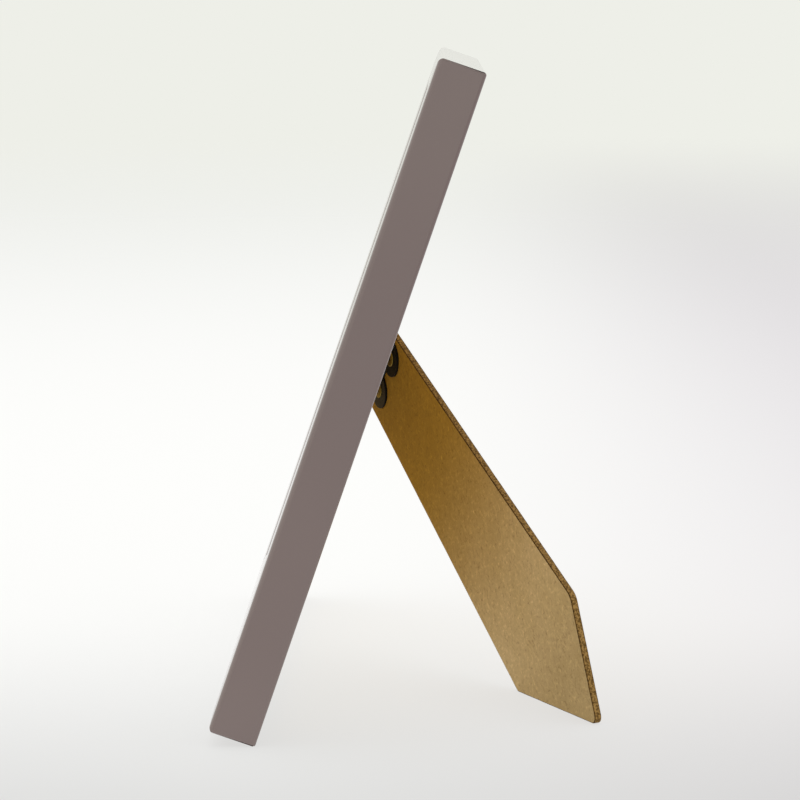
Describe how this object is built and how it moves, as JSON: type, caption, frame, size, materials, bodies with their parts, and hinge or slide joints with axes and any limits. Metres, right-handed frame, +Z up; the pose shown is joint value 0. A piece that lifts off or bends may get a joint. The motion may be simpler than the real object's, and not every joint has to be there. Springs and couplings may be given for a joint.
{
  "type": "easel back photo frame",
  "caption": "Mitred photo frame with glass and a back board held by turn buttons, standing on a table on a folding easel leg with an askew hinge.",
  "frame": {"origin": "middle of the box's bottom, on the table top that the bottom edge and the leg stand on", "axes": "+X to the right as seen from the front, along the frame's long side; +Y towards the back; +Z up"},
  "size_m": [0.217, 0.0938, 0.1614],
  "materials": {
    "moulding": "MDF moulding in a smooth satin taupe finish",
    "zinc_steel": "zinc plated",
    "black_steel": "black enamel on steel",
    "brass_eyelets": "brass plated",
    "glass": "clear float glass",
    "insert_paper": "plain matt paper",
    "board_mdf": "raw thin MDF"
  },
  "bodies": {
    "frame": {"bottom_rail": "moulding", "top_rail": "moulding", "left_rail": "moulding", "right_rail": "moulding", "corner_v_nails": "zinc_steel", "glass_pane": "glass", "photo_insert": "insert_paper", "back_board": "board_mdf", "turn_button_rivets": "zinc_steel", "hanger_landscape": "zinc_steel", "hanger_portrait": "zinc_steel", "hanger_rivets": "zinc_steel", "hinge_board_leaf": "black_steel", "hinge_pin": "zinc_steel", "hinge_board_rivets": "brass_eyelets"},
    "leg": {"easel_leg": "board_mdf", "hinge_leg_leaf": "black_steel", "hinge_leg_rivets": "brass_eyelets"},
    "top_button": {"turn_button_top": "black_steel"},
    "bottom_button": {"turn_button_bottom": "black_steel"},
    "left_button": {"turn_button_left": "black_steel"},
    "right_button": {"turn_button_right": "black_steel"}
  },
  "joints": [
    {"name": "leg_hinge", "type": "hinge", "parent": "frame", "child": "leg", "pos_m": [-0.0396, -0.01118, 0.08198], "axis": [0.6691, 0.2416, 0.7028], "range_deg": [-31.7, 0]},
    {"name": "top_button_turn", "type": "hinge", "parent": "frame", "child": "top_button", "pos_m": [0.06, 0.00895, 0.14469], "axis": [0, 0.9457, -0.3251], "continuous": true},
    {"name": "bottom_button_turn", "type": "hinge", "parent": "frame", "child": "bottom_button", "pos_m": [-0.06, -0.03527, 0.01608], "axis": [0, 0.9457, -0.3251], "continuous": true},
    {"name": "left_button_turn", "type": "hinge", "parent": "frame", "child": "left_button", "pos_m": [-0.093, -0.0273, 0.03925], "axis": [0, 0.9457, -0.3251], "continuous": true},
    {"name": "right_button_turn", "type": "hinge", "parent": "frame", "child": "right_button", "pos_m": [0.093, 0.00034, 0.11963], "axis": [0, 0.9457, -0.3251], "continuous": true}
  ]
}
